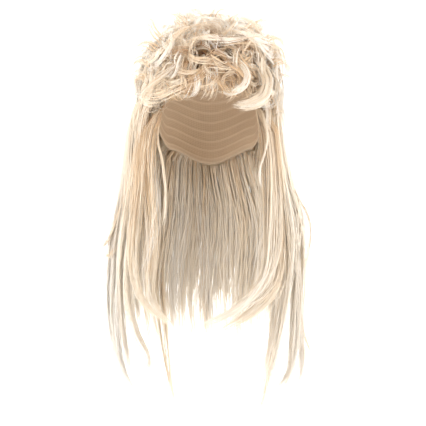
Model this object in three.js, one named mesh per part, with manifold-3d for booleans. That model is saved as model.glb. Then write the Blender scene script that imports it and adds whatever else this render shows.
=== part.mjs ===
// Mullet wig of synthetic fibre: a knitted cap carries a fringe and a crown of short curls, and long straight
// hair that falls past the shoulders at both sides and down the back.
// Millimetres, +Z up. The wearer faces -Y, so the wearer's left is +X. The origin is the inside top of the cap,
// where the crown of the head touches it.
import * as THREE from "three";
import { mergeVertices } from "three/addons/utils/BufferGeometryUtils.js";
import Module from "manifold-3d";

const wasm = await Module();
wasm.setup();

// Driving sizes: the head that the cap fits, and the walls and gaps of the pieces
const HEAD = { halfWidth: 77, halfDepth: 97, rise: 100 };
const CAP_WALL = 1.5;
const CAP_GAP = 1.4; // between the cap and the hair that is sewn over it
const HAIR_GAP = 0.5; // between neighbouring pieces of hair
const FALL_BED = 18; // depth of the mat of roots that the long hair grows from
const FRINGE_BED = 18; // and the fringe
const CROWN_BED = [34, 33, 20]; // and the crown, from its top to its lower edge
const ROOT_OFFSET = 6; // a curl starts this far off the head, inside the mat
const BED_SINK = 3; // a mat starts this far inside the head, and is then trimmed to the cap
const EDGE_GAP = 0.8; // degrees, between mats that meet
const GROW_ANGLE = 0.7; // degrees round the head for each millimetre that a mat grows

// Mesh fineness
const CAP_COLUMNS = 36;
const CAP_RINGS = 6;
const BED_COLUMNS = 30;
const BED_COLUMN_ANGLE = 12;
const HEAD_COLUMNS = 30;
const BED_RINGS = 3;
const CURL_SIDES = 4;
const CURL_STEPS = 6;
const FALL_SIDES = 6;
const FALL_STEPS = 7;

// Edge of the cap: the angle from the crown down to it, at each azimuth from the face (0) to the nape (180).
// It dips to a tab in front of each ear and clears the ear behind it.
const CAP_EDGE = [
  { azimuth: 0, polar: 60 },
  { azimuth: 35, polar: 63 },
  { azimuth: 58, polar: 79 },
  { azimuth: 74, polar: 102 },
  { azimuth: 95, polar: 95 },
  { azimuth: 125, polar: 112 },
  { azimuth: 180, polar: 126 },
];

// Lower edge of the crown's curls. In front it gives way to the fringe, and elsewhere to the long hair.
const CROWN_EDGE = [
  { azimuth: 0, polar: 38 },
  { azimuth: 50, polar: 40 },
  { azimuth: 62, polar: 66 },
  { azimuth: 180, polar: 66 },
];
const FRINGE_REACH = 56; // azimuth where the fringe ends, either side of the face
const FALL_START = 60; // azimuth where the long hair starts
const FALL_PARTING = 126; // azimuth where the side hair gives way to the back hair
const BACK_PARTING = 179.4; // the two halves of the back hair meet just short of the middle

// Curls in rings round the crown. Each rises off the head, then winds over by `turn` degrees towards its lean:
// 0 leans down the head and 90 sideways, and neighbours swing either way from it by `swing`.
const CROWN_ROWS = [
  { polar: 12, from: 15, to: 285, count: 4, rise: 31, radius: 14, turn: 215, lean: 0, swing: 40, width: 42 },
  { polar: 30, from: -157, to: 158, count: 8, rise: 35, radius: 15, turn: 220, lean: 0, swing: 35, width: 44 },
  { polar: 45, from: 54, to: 306, count: 8, rise: 28, radius: 15, turn: 225, lean: 0, swing: 30, width: 44 },
  { polar: 57, from: 66, to: 294, count: 9, rise: 17, radius: 15, turn: 230, lean: 0, swing: 25, width: 42 },
];
const FRINGE_ROWS = [
  { polar: 42, from: -40, to: 40, count: 4, rise: 27, radius: 15, turn: 225, lean: 0, swing: 40, width: 38 },
  { polar: 57, from: -33, to: 33, count: 4, rise: 10, radius: 19, turn: 235, lean: 0, swing: 30, width: 40 },
  { polar: 65, from: -52, to: 52, count: 2, rise: 10, radius: 18, turn: 235, lean: 0, swing: 20, width: 38 },
];
const CURL_DEPTH = 17;
const CURL_WANDER = 7; // a curl's root strays by up to this many degrees from its place in the row
const CURL_DRIFT = 0.35; // sideways slope of a curl, which winds it like a corkscrew
const CURL_TAPER = [0.8, 1, 1, 0.92, 0.78, 0.58, 0.22];
const CURL_TIGHTEN = 0.3; // share of its radius that a curl loses from root to tip

// Rails of the long hair: where it hangs at each level, at its front edge, over the ear, behind the shoulder and
// down the middle of the back. Both sides share them, and all of it leans a little to the wearer's right.
const RAIL_LEVELS = [
  { z: -66, frontX: 72, frontY: -60, sideX: 92, sideY: 0, rearX: 67, rearY: 77, backY: 105, lean: -2 },
  { z: -100, frontX: 82, frontY: -52, sideX: 101, sideY: 0, rearX: 76, rearY: 83, backY: 112, lean: -6 },
  { z: -140, frontX: 82, frontY: -47, sideX: 108, sideY: -2, rearX: 81, rearY: 84, backY: 110, lean: -8 },
  { z: -190, frontX: 75, frontY: -51, sideX: 118, sideY: -4, rearX: 91, rearY: 86, backY: 108, lean: -5 },
  { z: -240, frontX: 71, frontY: -58, sideX: 131, sideY: -6, rearX: 100, rearY: 88, backY: 108, lean: -1 },
  { z: -300, frontX: 71, frontY: -68, sideX: 135, sideY: -8, rearX: 106, rearY: 90, backY: 111, lean: -3 },
  { z: -360, frontX: 76, frontY: -76, sideX: 133, sideY: -8, rearX: 108, rearY: 92, backY: 114, lean: -6 },
  { z: -440, frontX: 84, frontY: -76, sideX: 131, sideY: -6, rearX: 104, rearY: 92, backY: 115, lean: -4 },
  { z: -530, frontX: 90, frontY: -70, sideX: 118, sideY: -4, rearX: 94, rearY: 90, backY: 113, lean: 0 },
];

// Locks of the long hair, from the front edge (along 0) to the middle of the back (along 1), with the height of
// the tip and how far the tip sweeps in towards the middle and forward.
const LEFT_LOCKS = [
  { along: 0.03, tip: -384, inward: 76, forward: 18 },
  { along: 0.1, tip: -398, inward: 62, forward: 16 },
  { along: 0.17, tip: -412, inward: 44, forward: 10 },
  { along: 0.24, tip: -486, inward: 28, forward: 4 },
  { along: 0.31, tip: -504, inward: 12, forward: 0 },
  { along: 0.38, tip: -474, inward: -4, forward: 0 },
  { along: 0.45, tip: -424, inward: 6, forward: -4 },
  { along: 0.52, tip: -404, inward: 0, forward: -8 },
];
const RIGHT_LOCKS = [
  { along: 0.03, tip: -388, inward: 14, forward: 12 },
  { along: 0.1, tip: -402, inward: 30, forward: 14 },
  { along: 0.17, tip: -440, inward: 34, forward: 8 },
  { along: 0.24, tip: -478, inward: 28, forward: 4 },
  { along: 0.31, tip: -492, inward: 16, forward: 0 },
  { along: 0.38, tip: -484, inward: 10, forward: 0 },
  { along: 0.45, tip: -428, inward: 4, forward: -4 },
  { along: 0.52, tip: -404, inward: 0, forward: -8 },
];
const BACK_LEFT_LOCKS = [
  { along: 0.6, tip: -400, inward: 4, forward: 0 },
  { along: 0.673, tip: -528, inward: 20, forward: 4 },
  { along: 0.746, tip: -410, inward: 4, forward: 0 },
  { along: 0.819, tip: -416, inward: 2, forward: 0 },
  { along: 0.892, tip: -424, inward: 0, forward: 0 },
  { along: 0.965, tip: -426, inward: 0, forward: 0 },
];
const BACK_RIGHT_LOCKS = [
  { along: 0.6, tip: -396, inward: 4, forward: 0 },
  { along: 0.673, tip: -404, inward: 6, forward: 0 },
  { along: 0.746, tip: -508, inward: 16, forward: 4 },
  { along: 0.819, tip: -414, inward: 2, forward: 0 },
  { along: 0.892, tip: -422, inward: 0, forward: 0 },
  { along: 0.965, tip: -420, inward: 0, forward: 0 },
];
const LOCK_SHARE = 0.078; // a lock's width, as a share of the way round from the front edge to the back
const PLAN_STEP = 0.01; // step for reading the direction of the hair's outline at a lock
const LOCK_DEPTH = 17;
const LOCK_TAPER = [0.6, 0.95, 1, 1, 1, 0.88, 0.6, 0.12];
const SWEEP_POWER = 6; // how late a lock's tip turns out of the fall

// Colours and finish of the fibre and of the cap's knit
const FIBRE = { color: 0xeedcc4, roughness: 0.45, metalness: 0 };
const KNIT = { color: 0xd9bf9c, roughness: 0.9, metalness: 0 };

const radians = THREE.MathUtils.degToRad;

// The same small irregularity for the same number, from 0 to 1.
function stray(number) {
  const wave = Math.sin(number * 12.9898) * 43758.5453;
  return wave - Math.floor(wave);
}

// The angle of an edge at an azimuth, eased from one row of its table to the next.
function edgeAt(edge, azimuth) {
  const turn = Math.abs(((azimuth + 540) % 360) - 180);
  const next = edge.findIndex((row) => row.azimuth >= turn);
  if (next <= 0) return edge[0].polar;
  const { azimuth: low, polar: start } = edge[next - 1];
  const { azimuth: high, polar: end } = edge[next];
  return THREE.MathUtils.lerp(start, end, THREE.MathUtils.smoothstep(turn, low, high));
}

// A point over the head, `offset` off its surface, with the directions out of it and down it.
function overHead(azimuth, polar, offset) {
  const around = radians(azimuth);
  const down = radians(polar);
  const unit = new THREE.Vector3(
    Math.sin(down) * Math.sin(around),
    -Math.sin(down) * Math.cos(around),
    Math.cos(down),
  );
  const size = new THREE.Vector3(HEAD.halfWidth, HEAD.halfDepth, HEAD.rise);
  const out = unit.clone().divide(size).normalize();
  const slope = new THREE.Vector3(
    Math.cos(down) * Math.sin(around),
    -Math.cos(down) * Math.cos(around),
    -Math.sin(down),
  );
  const along = slope.multiply(size).normalize();
  const point = unit.multiply(size).addScaledVector(out, offset);
  point.z -= HEAD.rise;
  return { point, out, along };
}

// A closed solid through rings of points. An end closes to its given point, or else straight across its ring.
function loft(rings, { start, end } = {}) {
  const count = rings[0].length;
  const points = rings.flat();
  const faces = [];
  for (let ring = 0; ring + 1 < rings.length; ring++)
    for (let i = 0; i < count; i++) {
      const a = ring * count + i;
      const b = ring * count + ((i + 1) % count);
      faces.push(a, b, a + count, b, b + count, a + count);
    }
  const close = (first, tip, flip) => {
    const face = (a, b, c) => faces.push(...(flip ? [a, c, b] : [a, b, c]));
    if (tip) {
      points.push(tip);
      for (let i = 0; i < count; i++) face(first + i, points.length - 1, first + ((i + 1) % count));
      return;
    }
    for (let low = 0, high = count - 1; high - low > 1; low++, high--) {
      face(first + low, first + high, first + low + 1);
      if (high - low > 2) face(first + low + 1, first + high, first + high - 1);
    }
  };
  close(0, start, false);
  close((rings.length - 1) * count, end, true);
  return solidOf(points, faces);
}

// A manifold solid from points and triangles, turned to face outwards.
function solidOf(points, faces) {
  const volume = (order) => {
    let sum = 0;
    for (let i = 0; i < order.length; i += 3) {
      const [a, b, c] = [points[order[i]], points[order[i + 1]], points[order[i + 2]]];
      sum += a.dot(b.clone().cross(c));
    }
    return sum;
  };
  const geometry = new THREE.BufferGeometry().setFromPoints(points);
  geometry.setIndex(volume(faces) < 0 ? faces.slice().reverse() : faces);
  const merged = mergeVertices(geometry);
  return new wasm.Manifold(
    new wasm.Mesh({
      numProp: 3,
      vertProperties: merged.getAttribute("position").array,
      triVerts: new Uint32Array(merged.index.array),
    }),
  );
}

// The solid's geometry, for a mesh of the scene.
function geometryOf(solid) {
  const mesh = solid.getMesh();
  const geometry = new THREE.BufferGeometry();
  geometry.setAttribute("position", new THREE.BufferAttribute(mesh.vertProperties.slice(), 3));
  geometry.setIndex(new THREE.BufferAttribute(mesh.triVerts.slice(), 1));
  geometry.computeVertexNormals();
  return geometry;
}

// The head itself, grown by `offset`: hair stays out of it.
function headSolid(offset) {
  const ball = new THREE.SphereGeometry(1, HEAD_COLUMNS, HEAD_COLUMNS / 2);
  ball.rotateX(Math.PI / 2);
  ball.scale(HEAD.halfWidth + offset, HEAD.halfDepth + offset, HEAD.rise + offset);
  ball.translate(0, 0, -HEAD.rise);
  ball.deleteAttribute("normal");
  ball.deleteAttribute("uv");
  const merged = mergeVertices(ball, 1e-3);
  const points = [];
  const place = merged.getAttribute("position");
  for (let i = 0; i < place.count; i++) points.push(new THREE.Vector3().fromBufferAttribute(place, i));
  const faces = [];
  for (let i = 0; i < merged.index.count; i += 3) {
    const corners = [0, 1, 2].map((k) => merged.index.getX(i + k));
    if (new Set(corners).size === 3) faces.push(...corners);
  }
  return solidOf(points, faces);
}

// The cap: a wall of knit from the crown down to its edge, inside and out.
function capSolid() {
  const ring = (share, offset) =>
    Array.from({ length: CAP_COLUMNS }, (_, i) => {
      const azimuth = (360 * i) / CAP_COLUMNS;
      return overHead(azimuth, share * edgeAt(CAP_EDGE, azimuth), offset).point;
    });
  const shares = Array.from({ length: CAP_RINGS }, (_, i) => (i + 1) / CAP_RINGS);
  const inner = shares.map((share) => ring(share, 0));
  const outer = shares.toReversed().map((share) => ring(share, CAP_WALL));
  return loft([...inner, ...outer], {
    start: overHead(0, 0, 0).point,
    end: overHead(0, 0, CAP_WALL).point,
  });
}

// A dome of matted roots from the crown down to the crown's edge.
function crownBed(grow) {
  const ring = (tier, offset) =>
    Array.from({ length: BED_COLUMNS }, (_, i) => {
      const azimuth = (360 * i) / BED_COLUMNS;
      const edge = edgeAt(CROWN_EDGE, azimuth) - EDGE_GAP + GROW_ANGLE * grow;
      return overHead(azimuth, (edge * (tier + 1)) / CROWN_BED.length, offset).point;
    });
  const inner = CROWN_BED.map((_, tier) => ring(tier, -BED_SINK));
  const outer = CROWN_BED.map((depth, tier) => ring(tier, depth + grow)).reverse();
  return loft([...inner, ...outer], {
    start: overHead(0, 0, -BED_SINK).point,
    end: overHead(0, 0, CROWN_BED[0] + grow).point,
  });
}

// A band of matted roots between two azimuths, from the crown's edge down to the cap's.
function bandBed(from, to, depth, grow) {
  const columns = Math.round(Math.abs(to - from) / BED_COLUMN_ANGLE);
  const widen = GROW_ANGLE * grow;
  const sideways = Math.sign(to - from) * widen;
  const rings = Array.from({ length: columns + 1 }, (_, i) => {
    const azimuth = THREE.MathUtils.lerp(from - sideways, to + sideways, i / columns);
    const top = edgeAt(CROWN_EDGE, azimuth) + EDGE_GAP - widen;
    const bottom = edgeAt(CAP_EDGE, azimuth) - EDGE_GAP + widen;
    const line = (offset) =>
      Array.from({ length: BED_RINGS + 1 }, (_, k) => {
        const polar = THREE.MathUtils.lerp(top, bottom, k / BED_RINGS);
        return overHead(azimuth, polar, offset).point;
      });
    return [...line(-BED_SINK), ...line(depth + grow).reverse()];
  });
  return loft(rings);
}

function fringeBed(grow) {
  return bandBed(-FRINGE_REACH, FRINGE_REACH, FRINGE_BED, grow);
}

// A lock with a flattened round section: its stations give the middle, the two section axes and their half sizes.
function lockSolid(stations, sides) {
  const rings = stations.map(({ point, across, up, halfWidth, halfDepth }) =>
    Array.from({ length: sides }, (_, i) => {
      const angle = (2 * Math.PI * (i + 0.5)) / sides;
      return point
        .clone()
        .addScaledVector(across, halfWidth * Math.cos(angle))
        .addScaledVector(up, halfDepth * Math.sin(angle));
    }),
  );
  return loft(rings, { start: stations[0].point, end: stations.at(-1).point });
}

// Where each curl of a row grows and how it winds.
function curlsOf(rows, seed) {
  return rows.flatMap((row, tier) =>
    Array.from({ length: row.count }, (_, i) => {
      const number = seed + 100 * tier + i;
      const side = i % 2 ? 1 : -1;
      const azimuth = THREE.MathUtils.lerp(row.from, row.to, row.count > 1 ? i / (row.count - 1) : 0.5);
      return {
        azimuth: azimuth + CURL_WANDER * (stray(number) - 0.5),
        polar: row.polar + CURL_WANDER * (stray(number + 0.2) - 0.5),
        lean: row.lean + side * row.swing * (0.5 + stray(number + 0.4)),
        rise: row.rise * (0.8 + 0.4 * stray(number + 0.6)),
        radius: row.radius * (0.85 + 0.3 * stray(number + 0.8)),
        turn: row.turn,
        drift: side * CURL_DRIFT,
        width: row.width,
      };
    }),
  );
}

// A curl's stations: it climbs along the scalp's normal, then winds over in the plane of its lean.
function curlStations({ azimuth, polar, lean, rise, radius, turn, drift, width }, grow) {
  const { point, out, along } = overHead(azimuth, polar, ROOT_OFFSET);
  const sideways = out.clone().cross(along);
  const angle = radians(lean);
  const over = along.clone().multiplyScalar(Math.cos(angle)).addScaledVector(sideways, Math.sin(angle));
  const across = out.clone().cross(over);
  const stations = [];
  const middle = point.clone();
  const bends = CURL_STEPS - 1;
  for (let step = 0; step <= CURL_STEPS; step++) {
    const wound = Math.max(0, step - 1) / bends;
    const heading = radians(turn) * wound;
    const up = over.clone().multiplyScalar(Math.cos(heading)).addScaledVector(out, -Math.sin(heading));
    const taper = CURL_TAPER[step];
    stations.push({
      point: middle.clone(),
      across,
      up,
      halfWidth: (width / 2) * taper + grow,
      halfDepth: (CURL_DEPTH / 2) * taper + grow,
    });
    const bend = radians(turn) / bends;
    const next = step === 0 ? 0 : heading + bend / 2;
    const reach = step === 0 ? rise : radius * (1 - CURL_TIGHTEN * wound) * bend;
    middle
      .addScaledVector(out, reach * Math.cos(next))
      .addScaledVector(over, reach * Math.sin(next))
      .addScaledVector(across, step === 0 ? 0 : drift * reach);
  }
  return stations;
}

// The rails that the long hair hangs along, on one side of the head: +1 for the left and -1 for the right.
function railsOf(side) {
  const rail = (place) => new THREE.CatmullRomCurve3(RAIL_LEVELS.map(place), false, "catmullrom");
  return [
    rail(({ z, frontX, frontY, lean }) => new THREE.Vector3(side * frontX + lean, frontY, z)),
    rail(({ z, sideX, sideY, lean }) => new THREE.Vector3(side * sideX + lean, sideY, z)),
    rail(({ z, rearX, rearY, lean }) => new THREE.Vector3(side * rearX + lean, rearY, z)),
    rail(({ z, backY, lean }) => new THREE.Vector3(lean, backY, z)),
  ];
}

// How far down its rails a lock ends, from 0 at the top level to 1 at the lowest.
function dropOf(tip) {
  const last = RAIL_LEVELS.length - 1;
  const next = RAIL_LEVELS.findIndex(({ z }) => z <= tip);
  const { z: high } = RAIL_LEVELS[next - 1];
  const { z: low } = RAIL_LEVELS[next];
  return (next - 1 + (high - tip) / (high - low)) / last;
}

// A long lock's stations, down the rails of its side.
function fallStations({ along, tip, inward, forward }, side, grow) {
  const rails = railsOf(side);
  const drop = dropOf(tip);
  return Array.from({ length: FALL_STEPS + 1 }, (_, step) => {
    const share = step / FALL_STEPS;
    const plan = new THREE.CatmullRomCurve3(
      rails.map((rail) => rail.getPoint(drop * share)),
      false,
      "catmullrom",
    );
    const across = plan.getPoint(along + PLAN_STEP).sub(plan.getPoint(along - PLAN_STEP));
    const pace = across.length() / (2 * PLAN_STEP);
    across.normalize();
    const up = new THREE.Vector3(across.y, -across.x, 0).normalize();
    const sweep = share ** SWEEP_POWER;
    const point = plan.getPoint(along);
    point.x -= side * inward * sweep;
    point.y -= forward * sweep;
    const taper = LOCK_TAPER[step];
    return {
      point,
      across,
      up,
      halfWidth: (LOCK_SHARE / 2) * pace * taper + grow,
      halfDepth: (LOCK_DEPTH / 2) * taper + grow,
    };
  });
}

// Everything of one piece of hair fused together: its mat and its locks, grown by `grow` all round.
function curlPiece(rows, seed, bed, grow) {
  const curls = curlsOf(rows, seed).map((curl) => lockSolid(curlStations(curl, grow), CURL_SIDES));
  return curls.reduce((sum, curl) => sum.add(curl), bed);
}

function fallPiece(locks, side, from, to, grow) {
  const bed = bandBed(side * from, side * to, FALL_BED, grow);
  const falls = locks.map((lock) => lockSolid(fallStations(lock, side, grow), FALL_SIDES));
  return falls.reduce((sum, fall) => sum.add(fall), bed);
}

// The body of a cut piece, without the crumbs that the cut leaves loose.
function mainBody(solid) {
  return solid.decompose().reduce((best, body) => (body.volume() > best.volume() ? body : best));
}

// The pieces of hair, each cut clear of the cap and of the pieces listed before it.
function hairPieces() {
  const makers = {
    side_fall_left: (grow) => fallPiece(LEFT_LOCKS, 1, FALL_START, FALL_PARTING - EDGE_GAP, grow),
    side_fall_right: (grow) => fallPiece(RIGHT_LOCKS, -1, FALL_START, FALL_PARTING - EDGE_GAP, grow),
    back_fall_left: (grow) => fallPiece(BACK_LEFT_LOCKS, 1, FALL_PARTING + EDGE_GAP, BACK_PARTING, grow),
    back_fall_right: (grow) => fallPiece(BACK_RIGHT_LOCKS, -1, FALL_PARTING + EDGE_GAP, BACK_PARTING, grow),
    fringe_curls: (grow) => curlPiece(FRINGE_ROWS, 11, fringeBed(grow), grow),
    crown_curls: (grow) => curlPiece(CROWN_ROWS, 41, crownBed(grow), grow),
  };
  const head = headSolid(CAP_WALL + CAP_GAP);
  let taken = head;
  const pieces = {};
  for (const [name, make] of Object.entries(makers)) {
    pieces[name] = mainBody(make(0).subtract(taken));
    taken = taken.add(make(HAIR_GAP));
  }
  return pieces;
}

const wig = new THREE.Group();
const add = (name, solid, finish) => {
  const mesh = new THREE.Mesh(geometryOf(solid), new THREE.MeshStandardMaterial(finish));
  mesh.name = name;
  wig.add(mesh);
};
add("wig_cap", capSolid(), KNIT);
for (const [name, solid] of Object.entries(hairPieces())) add(name, solid, FIBRE);

export default wig;
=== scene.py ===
"""Looks of the synthetic mullet wig: strands of fibre, a knitted cap and a pale studio.

The tables are in millimetres and degrees, and Blender is in metres. The wearer faces -Y, the wearer's left is
+X, and the origin is the inside top of the cap.
"""
import math

import bpy
import numpy as np
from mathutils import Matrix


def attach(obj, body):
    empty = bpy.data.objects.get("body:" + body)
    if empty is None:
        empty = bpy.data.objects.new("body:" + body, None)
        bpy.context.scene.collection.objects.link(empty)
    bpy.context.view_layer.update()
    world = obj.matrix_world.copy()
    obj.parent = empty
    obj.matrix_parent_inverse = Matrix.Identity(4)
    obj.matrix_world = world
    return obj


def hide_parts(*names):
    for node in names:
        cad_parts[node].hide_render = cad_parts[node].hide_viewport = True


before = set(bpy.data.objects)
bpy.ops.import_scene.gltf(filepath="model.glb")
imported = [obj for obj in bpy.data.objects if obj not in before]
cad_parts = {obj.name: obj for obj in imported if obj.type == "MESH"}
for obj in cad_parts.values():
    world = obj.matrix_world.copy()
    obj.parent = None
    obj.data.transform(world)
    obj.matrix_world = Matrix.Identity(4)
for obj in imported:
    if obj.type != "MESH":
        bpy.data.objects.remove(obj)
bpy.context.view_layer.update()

MM = 0.001

# Inside of the cap, as in the CAD, and edges over it: at each azimuth, an angle from the crown
HEAD_SIZE = np.array([77.0, 97.0, 100.0])
HEAD_MIDDLE = np.array([0.0, 0.0, -100.0])
CAP_WALL = 1.5
CAP_EDGE = [(0, 60), (35, 63), (58, 79), (74, 102), (95, 95), (125, 112), (180, 126)]
CROWN_EDGE = [(0, 38), (50, 40), (62, 66), (180, 66)]
FRINGE_REACH = 58.0
FRINGE_MARGIN = 1.0

# Shape that the curls fill: how far they stand off the head at each angle from the crown, and where they end
CURL_REACH = [(0, 54), (30, 63), (50, 59), (68, 40), (81, 29), (95, 34)]
CURL_HEM = [(0, 79), (25, 81), (46, 85), (62, 90), (95, 94), (180, 100)]
REACH_SOFTNESS = 8.0
HEM_SOFTNESS = 10.0
HEM_WANDER = 4.0
HAIR_CLEARANCE = 3.0

# Hollows between the curls, where the roots, darker with painted shade, show: azimuth, angle from the crown
# and radius
HOLLOWS = [
    (-29, 62, 13), (-7, 53, 16), (6, 57, 13), (15, 70, 15), (27, 73, 13), (62, 44, 13), (-66, 40, 13),
    (98, 58, 12), (-104, 60, 13), (130, 36, 11), (-146, 50, 14), (166, 62, 12), (40, 20, 9), (-120, 18, 8),
]
HOLLOW_DEPTH = 0.25
HOLLOW_SHARE = 0.85
HOLLOW_RIM = 4.0
LEAST_GAP = 1e-3

# How each layer of curls grows: the middle of each value, how far locks swing and how far strands stray
# Painted shade: the under and inner layers have low tones for the shade deep in the curls
CURL_LAYERS = dict(
    under=dict(
        lift=(0.06, 0, 0), tilt=(45, 20, 4), bearing=(0, 110, 5), roll=(0, 95, 6), turn=(300, 100, 15),
        bend=(2, 0.5, 0.05), length=(1, 0.25, 0.06), drift=(0, 0.15, 0.02), sway=(18, 10, 3),
        fullness=(0.6, 0.1, 0.04), tone=(0.2, 0.1, 0.06),
    ),
    inner=dict(
        lift=(0.06, 0, 0), tilt=(20, 20, 4), bearing=(0, 110, 5), roll=(0, 95, 6), turn=(300, 90, 12),
        bend=(2, 0.5, 0.05), length=(1.8, 0.4, 0.1), drift=(0, 0.15, 0.02), sway=(10, 6, 2),
        fullness=(0.84, 0.1, 0.04), tone=(0.42, 0.18, 0.07),
    ),
    surface=dict(
        lift=(0.6, 0.14, 0.02), tilt=(58, 14, 2), bearing=(0, 150, 3), roll=(80, 25, 3), turn=(200, 70, 6),
        bend=(1.25, 0.25, 0.03), length=(1.3, 0.4, 0.06), drift=(0, 0.08, 0.02), sway=(5, 3, 1),
        fullness=(0.98, 0.15, 0.03), tone=(0.68, 0.2, 0.06),
    ),
    hem=dict(
        lift=(0.45, 0.12, 0.02), tilt=(60, 14, 2), bearing=(0, 75, 4), roll=(45, 40, 4), turn=(190, 60, 6),
        bend=(1.3, 0.25, 0.03), length=(1.35, 0.3, 0.06), drift=(0, 0.1, 0.02), sway=(5, 3, 1),
        fullness=(0.96, 0.07, 0.02), tone=(0.62, 0.2, 0.06),
    ),
    # The wisps' low tone is painted shade of the wisps round the outline
    wisp=dict(
        lift=(0.6, 0.2, 0.02), tilt=(35, 25, 4), bearing=(0, 180, 6), roll=(60, 40, 6), turn=(140, 80, 12),
        bend=(1.4, 0.3, 0.05), length=(1, 0.3, 0.1), drift=(0, 0.1, 0.03), sway=(5, 3, 2),
        fullness=(1.24, 0.12, 0.05), tone=(0.48, 0.2, 0.08),
    ),
    drape=dict(
        lift=(0.4, 0.15, 0.02), tilt=(66, 12, 2), bearing=(0, 45, 4), roll=(40, 50, 4), turn=(110, 70, 6),
        bend=(1.5, 0.3, 0.03), length=(1.7, 0.4, 0.08), drift=(0, 0.1, 0.02), sway=(8, 5, 1),
        fullness=(1, 0.07, 0.02), tone=(0.66, 0.22, 0.06),
    ),
)

# How the strands of a curl gather and stray
CURL_SEGMENTS = 10
CURL_THREADS = 4
THREAD_LOOSENESS = 0.4
SHORTEST_CURL = 0.4
PHASE_STRAY = 0.15
CURL_FRIZZ = 0.5
SWAY_WAVES = 1.4
CLUMP_SPREAD = 1.7
CLUMP_GATHER = 0.55
LAYER_HALF_WIDTHS = dict(under=0.6, inner=0.6, surface=0.4, hem=0.4, wisp=0.36, drape=0.46)

# Roots over the whole scalp and strands at each root, layer by layer, and each piece's zone and added tone of
# painted light and shade
FRINGE_LAYERS = dict(under=(300, 8), inner=(400, 9), surface=(360, 17), hem=(260, 16), wisp=(160, 4))
CROWN_LAYERS = dict(under=(130, 8), inner=(206, 9), surface=(240, 16), wisp=(180, 4))
EDGE_LAYERS = dict(CROWN_LAYERS, drape=(190, 14))
# Painted shade on the middle of the fringe and painted light at its sides; the crown pieces get painted light
# all over
FRINGE_PAINTED_LIGHT_AND_SHADE = [(-60, 0.06), (-28, -0.06), (0, -0.36), (22, -0.3), (42, 0.06)]
CURL_PIECES = [
    dict(name="fringe_curls", node="fringe_curls", zone="fringe", layers=FRINGE_LAYERS, tone=FRINGE_PAINTED_LIGHT_AND_SHADE),
    dict(name="crown_top", node="crown_curls", zone="top", layers=CROWN_LAYERS, tone=[(0, 0.16)]),
    dict(name="crown_middle", node="crown_curls", zone="middle", layers=CROWN_LAYERS, tone=[(0, 0.17)]),
    dict(name="crown_edge", node="crown_curls", zone="edge", layers=EDGE_LAYERS, tone=[(0, 0.14)]),
]
ZONE_ANGLES = dict(top=(0, 31), middle=(31, 50), edge=(50, 70))
GOLDEN_ANGLE = 137.508
ROOT_LIMIT = 70.0
CURL_SEED = 300

# Locks that stand out in the photo, as points along each
FRINGE_DRAWN = [
    dict(strands=36, width=3.5, depth=3, tone=0.72, clumps=3, points=[
        (10, -58, -12), (17, -88, -5), (29, -102, -17), (40, -112, -29), (48, -117, -40), (50, -119, -51),
        (45, -118, -62), (35, -115, -68), (25, -110, -70), (17, -103, -66),
    ]),
    dict(strands=80, width=10, depth=5, tone=0.56, clumps=5, points=[
        (36, -46, -16), (49, -70, -8), (61, -82, -19), (72, -92, -33), (79, -97, -47), (79, -99, -61),
        (73, -100, -74), (60, -102, -82), (45, -103, -85), (32, -101, -83),
    ]),
    dict(strands=30, width=3, depth=3, tone=0.72, clumps=2, points=[
        (-30, -56, -14), (-41, -80, -7), (-35, -95, -18), (-26, -107, -31), (-19, -114, -44),
        (-16, -117, -56), (-19, -115, -67), (-26, -108, -74),
    ]),
    dict(strands=44, width=9, depth=4, tone=0.76, clumps=6, points=[
        (2, -64, -16), (-4, -92, -15), (-1, -104, -24), (1, -112, -34), (2, -117, -46), (0, -115, -56),
        (-4, -108, -64),
    ]),
    dict(strands=30, width=3, depth=3, tone=0.64, clumps=2, points=[
        (8, -60, -12), (6, -85, -12), (10, -92, -3), (18, -97, 1), (28, -99, -1), (36, -98, -8),
        (39, -94, -16),
    ]),
    dict(strands=18, width=5, depth=4, tone=0.5, clumps=4, loose=0.3, points=[
        (6, -62, -14), (-5, -100, -31), (-16, -112, -44), (-32, -114, -56), (-51, -111, -65),
        (-71, -103, -73), (-87, -93, -73), (-98, -84, -64),
    ]),
    dict(strands=32, width=9, depth=5, tone=0.5, clumps=6, loose=0.3, points=[
        (-24, -58, -14), (-33, -88, -19), (-49, -100, -34), (-68, -100, -49), (-85, -94, -61),
        (-93, -88, -73), (-85, -88, -82), (-68, -92, -81),
    ]),
]
# The wisps' low tone is painted shade of the wisps round the outline
CROWN_WISP = dict(strands=20, width=5, depth=4, tone=0.4, clumps=3, loose=0.16)
CROWN_LINES = [
    [(-53, -70, -22), (-73, -60, -5), (-87, -50, 6), (-99, -44, 8), (-106, -40, 2)],
    [(-48, -50, -5), (-68, -40, 13), (-80, -32, 27), (-86, -26, 41), (-92, -22, 47)],
    [(-61, -80, -45), (-81, -66, -26), (-94, -56, -17), (-104, -50, -19), (-110, -46, -30)],
    [(-63, -80, -65), (-84, -64, -49), (-97, -54, -40), (-107, -48, -43), (-110, -44, -55)],
    [(53, -60, -4), (76, -50, 11), (91, -44, 15), (101, -40, 9), (105, -36, -3)],
    [(73, -66, -33), (91, -54, -20), (105, -46, -19), (112, -42, -30), (111, -40, -47)],
    [(43, -40, 21), (60, -32, 37), (71, -26, 45), (83, -22, 44), (89, -20, 35)],
    [(-6, -50, 26), (0, -40, 43), (7, -34, 56), (17, -30, 61), (26, -28, 56)],
    [(-28, -50, 23), (-40, -40, 42), (-51, -34, 51), (-63, -30, 51), (-71, -28, 43)],
    [(26, -40, 27), (34, -32, 45), (46, -28, 53), (56, -24, 52)],
]
CROWN_DRAWN = [dict(CROWN_WISP, points=line) for line in CROWN_LINES]
DRAWN_PIECES = [
    dict(name="fringe_locks", node="fringe_curls", locks=FRINGE_DRAWN, half_width=0.44),
    dict(name="crown_wisps", node="crown_curls", locks=CROWN_DRAWN, half_width=0.42),
]

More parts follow.
